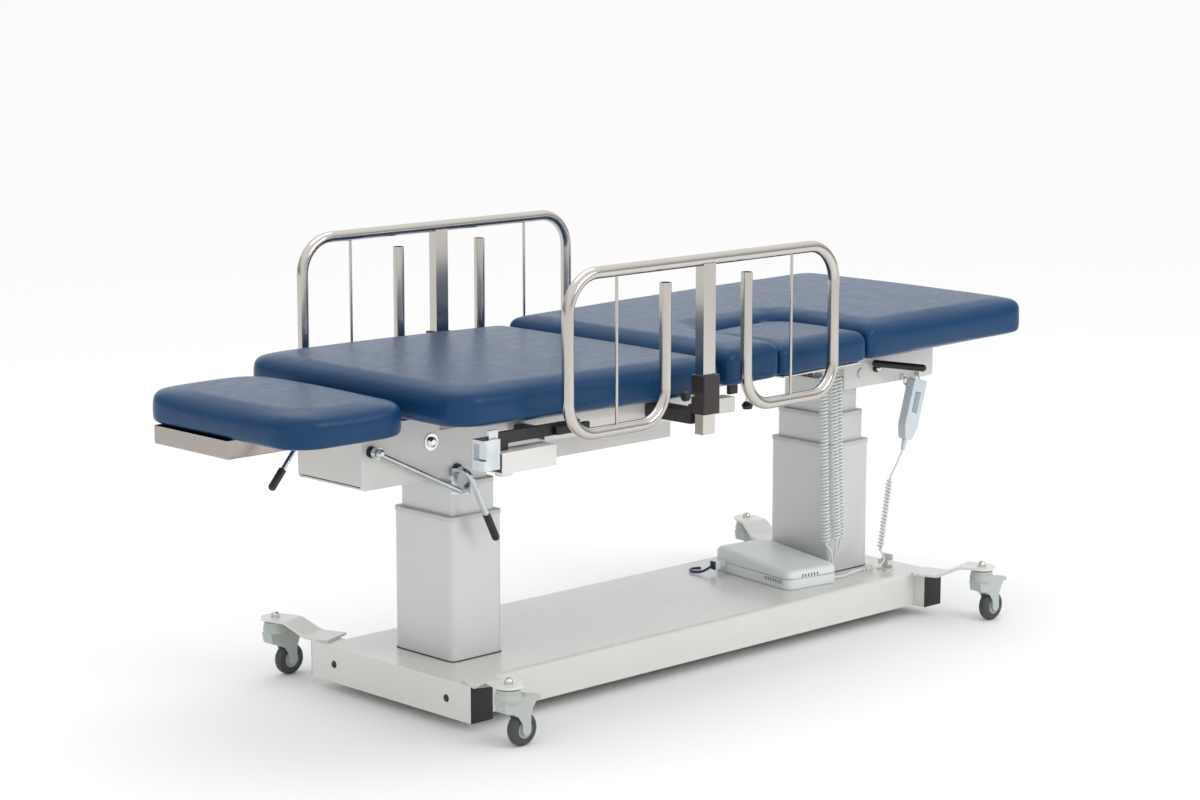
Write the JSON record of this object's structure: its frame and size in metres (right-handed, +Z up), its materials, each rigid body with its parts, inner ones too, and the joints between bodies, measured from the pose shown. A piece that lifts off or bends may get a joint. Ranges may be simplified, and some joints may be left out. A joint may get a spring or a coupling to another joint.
{
  "type": "imaging table",
  "caption": "Height-adjustable cushioned imaging table with lifting back, drop window, foot section, side rails and swivel casters.",
  "frame": {"origin": "centre of the bounding box, on the floor", "axes": "+X towards the head end, +Y towards the far side, +Z up"},
  "size_m": [2.2762, 0.956, 1.0355],
  "materials": {
    "vinyl": "navy upholstery vinyl, soft sheen",
    "white_paint": "gloss powder coat",
    "grey_paint": "satin powder coat",
    "column_silver": "satin anodised",
    "stainless": "brushed",
    "zinc": "bright zinc plate",
    "chrome": "polished",
    "dark_paint": "satin",
    "black_plastic": "moulded",
    "tyre": "smooth tread",
    "caster_grey": "moulded",
    "box_plastic": "moulded, fine texture",
    "cord_grey": "cord sheath",
    "cord_blue": "cord sheath"
  },
  "bodies": {
    "base": {"base_frame": "white_paint", "base_tray": "white_paint", "end_caps_and_plugs": "black_plastic", "caster_arms": "white_paint", "caster_cap_nuts": "chrome", "foot_column_outer": "column_silver", "head_column_outer": "column_silver", "control_box_base": "box_plastic", "control_box_lid": "box_plastic", "mains_inlet": "cord_blue", "cord_clip": "white_paint", "motor_cords": "cord_grey", "handset_cord": "cord_grey", "mains_cord": "cord_blue"},
    "head_middle": {"head_column_middle": "column_silver"},
    "head_inner": {"head_column_inner": "column_silver", "head_pivot_shaft": "zinc"},
    "foot_middle": {"foot_column_middle": "column_silver"},
    "foot_inner": {"foot_column_inner": "column_silver", "foot_pivot_bolts": "chrome"},
    "frame": {"main_frame": "white_paint", "shaft_bushes": "black_plastic", "seat_frame": "white_paint", "seat_pad": "vinyl", "stirrup_sockets": "white_paint", "socket_clamps": "zinc", "accessory_rails": "black_plastic", "rail_clamp_blocks": "dark_paint", "head_lever_bolt": "chrome", "handset_hook": "zinc"},
    "foot_section": {"foot_pad": "vinyl", "foot_deck": "white_paint", "foot_pan": "stainless"},
    "foot_release": {"foot_lever": "black_plastic"},
    "side_rod": {"side_rod": "zinc"},
    "hook_lever": {"hook_lever": "zinc"},
    "back": {"back_frame": "white_paint", "back_pad": "vinyl"},
    "window": {"window_pad": "vinyl", "window_board": "white_paint"},
    "window_knob": {"window_release_knob": "black_plastic"},
    "head_lever": {"head_lever": "black_plastic"},
    "handset": {"handset_body": "box_plastic"},
    "rocker": {"handset_rocker": "caster_grey"},
    "rail_near": {"side_rail_near": "stainless"},
    "knob_near": {"rail_knob_near": "black_plastic"},
    "rail_far": {"side_rail_far": "stainless"},
    "knob_far": {"rail_knob_far": "black_plastic"},
    "caster_foot_near": {"caster_fork_foot_near": "caster_grey"},
    "brake_foot_near": {"caster_brake_foot_near": "caster_grey"},
    "wheel_foot_near": {"caster_wheel_foot_near": "tyre"},
    "caster_foot_far": {"caster_fork_foot_far": "caster_grey"},
    "brake_foot_far": {"caster_brake_foot_far": "caster_grey"},
    "wheel_foot_far": {"caster_wheel_foot_far": "tyre"},
    "caster_head_near": {"caster_fork_head_near": "caster_grey"},
    "brake_head_near": {"caster_brake_head_near": "caster_grey"},
    "wheel_head_near": {"caster_wheel_head_near": "tyre"},
    "caster_head_far": {"caster_fork_head_far": "caster_grey"},
    "brake_head_far": {"caster_brake_head_far": "caster_grey"},
    "wheel_head_far": {"caster_wheel_head_far": "tyre"}
  },
  "joints": [
    {"name": "lift", "type": "slide", "parent": "base", "child": "head_inner", "axis": [0, 0, 1], "range_m": [-0.07, 0.15], "deforming": ["motor_cords", "handset_cord"]},
    {"name": "head_middle_lift", "type": "slide", "parent": "base", "child": "head_middle", "axis": [0, 0, 1], "range_m": [-0.036, 0.076]},
    {"name": "tilt", "type": "hinge", "parent": "head_inner", "child": "frame", "pos_m": [0.7772, 0, 0.625], "axis": [0, 1, 0], "range_deg": [-2.3, 5]},
    {"name": "foot_inner_lift", "type": "slide", "parent": "head_inner", "child": "foot_inner", "axis": [0, 0, 1], "range_m": [-0.058, 0.124]},
    {"name": "foot_middle_lift", "type": "slide", "parent": "head_middle", "child": "foot_middle", "axis": [0, 0, 1], "range_m": [-0.03, 0.063]},
    {"name": "foot_slide", "type": "slide", "parent": "frame", "child": "foot_section", "axis": [-1, 0, 0], "range_m": [0, 0.18]},
    {"name": "foot_lever_pull", "type": "hinge", "parent": "foot_section", "child": "foot_release", "pos_m": [-0.97, -0.068, 0.674], "axis": [0, 1, 0], "range_deg": [0, 6], "stiffness_Nm_per_rad": 3, "springref_deg": -17.19},
    {"name": "side_rod_swing", "type": "hinge", "parent": "frame", "child": "side_rod", "pos_m": [-0.802, 0, 0.629], "axis": [0, 1, 0], "range_deg": [0, 60]},
    {"name": "hook_lever_pull", "type": "hinge", "parent": "frame", "child": "hook_lever", "pos_m": [-0.557, -0.129, 0.559], "axis": [0, -1, 0], "range_deg": [0, 20], "stiffness_Nm_per_rad": 3, "springref_deg": -22.92},
    {"name": "back_raise", "type": "hinge", "parent": "frame", "child": "back", "pos_m": [0.026, 0, 0.765], "axis": [0, -1, 0], "range_deg": [-1, 70]},
    {"name": "window_drop", "type": "hinge", "parent": "back", "child": "window", "pos_m": [0.372, -0.072, 0.70393], "axis": [0.9999, 0, 0.0157], "range_deg": [0, 80]},
    {"name": "window_knob_pull", "type": "slide", "parent": "back", "child": "window_knob", "axis": [0.0157, 0, -0.9999], "range_m": [0, 0.006], "stiffness_N_per_m": 600, "springref_m": -0.005},
    {"name": "head_lever_pull", "type": "hinge", "parent": "frame", "child": "head_lever", "pos_m": [0.833, -0.135, 0.632], "axis": [0, -1, 0], "range_deg": [0, 15], "stiffness_Nm_per_rad": 3, "springref_deg": -17.19},
    {"name": "handset_lift", "type": "slide", "parent": "frame", "child": "handset", "axis": [0, 0, 1], "range_m": [0, 0.03]},
    {"name": "rocker_press", "type": "hinge", "parent": "handset", "child": "rocker", "pos_m": [0.9496, -0.1742, 0.5352], "axis": [0.9563, 0, -0.2924], "range_deg": [-3.5, 3.5], "stiffness_Nm_per_rad": 0.2},
    {"name": "rail_drop_near", "type": "slide", "parent": "frame", "child": "rail_near", "axis": [0, 0, 1], "range_m": [-0.235, 0]},
    {"name": "rail_knob_turn_near", "type": "hinge", "parent": "frame", "child": "knob_near", "pos_m": [-0.15, -0.456, 0.72], "axis": [1, 0, 0], "range_deg": [-180, 180]},
    {"name": "rail_drop_far", "type": "slide", "parent": "frame", "child": "rail_far", "axis": [0, 0, 1], "range_m": [-0.235, 0]},
    {"name": "rail_knob_turn_far", "type": "hinge", "parent": "frame", "child": "knob_far", "pos_m": [-0.15, 0.456, 0.72], "axis": [1, 0, 0], "range_deg": [-180, 180]},
    {"name": "swivel_foot_near", "type": "hinge", "parent": "base", "child": "caster_foot_near", "pos_m": [-0.673, -0.41, 0.12], "axis": [0, 0, 1], "continuous": true},
    {"name": "brake_foot_near", "type": "hinge", "parent": "caster_foot_near", "child": "brake_foot_near", "pos_m": [-0.627, -0.41, 0.107], "axis": [0, 1, 0], "range_deg": [0, 12]},
    {"name": "wheel_foot_near", "type": "hinge", "parent": "caster_foot_near", "child": "wheel_foot_near", "pos_m": [-0.635, -0.41, 0.0375], "axis": [0, 1, 0], "continuous": true},
    {"name": "swivel_foot_far", "type": "hinge", "parent": "base", "child": "caster_foot_far", "pos_m": [-0.673, 0.41, 0.12], "axis": [0, 0, 1], "continuous": true},
    {"name": "brake_foot_far", "type": "hinge", "parent": "caster_foot_far", "child": "brake_foot_far", "pos_m": [-0.627, 0.41, 0.107], "axis": [0, 1, 0], "range_deg": [0, 12]},
    {"name": "wheel_foot_far", "type": "hinge", "parent": "caster_foot_far", "child": "wheel_foot_far", "pos_m": [-0.635, 0.41, 0.0375], "axis": [0, 1, 0], "continuous": true},
    {"name": "swivel_head_near", "type": "hinge", "parent": "base", "child": "caster_head_near", "pos_m": [0.939, -0.41, 0.12], "axis": [0, 0, 1], "continuous": true},
    {"name": "brake_head_near", "type": "hinge", "parent": "caster_head_near", "child": "brake_head_near", "pos_m": [0.985, -0.41, 0.107], "axis": [0, 1, 0], "range_deg": [0, 12]},
    {"name": "wheel_head_near", "type": "hinge", "parent": "caster_head_near", "child": "wheel_head_near", "pos_m": [0.977, -0.41, 0.0375], "axis": [0, 1, 0], "continuous": true},
    {"name": "swivel_head_far", "type": "hinge", "parent": "base", "child": "caster_head_far", "pos_m": [0.939, 0.41, 0.12], "axis": [0, 0, 1], "continuous": true},
    {"name": "brake_head_far", "type": "hinge", "parent": "caster_head_far", "child": "brake_head_far", "pos_m": [0.985, 0.41, 0.107], "axis": [0, 1, 0], "range_deg": [0, 12]},
    {"name": "wheel_head_far", "type": "hinge", "parent": "caster_head_far", "child": "wheel_head_far", "pos_m": [0.977, 0.41, 0.0375], "axis": [0, 1, 0], "continuous": true}
  ],
  "couplings": [
    {"joint": "head_middle_lift", "follows": "lift", "ratio": 0.5},
    {"joint": "foot_inner_lift", "follows": "tilt", "m_per_rad": 1.4082},
    {"joint": "foot_middle_lift", "follows": "tilt", "m_per_rad": 0.7041}
  ]
}
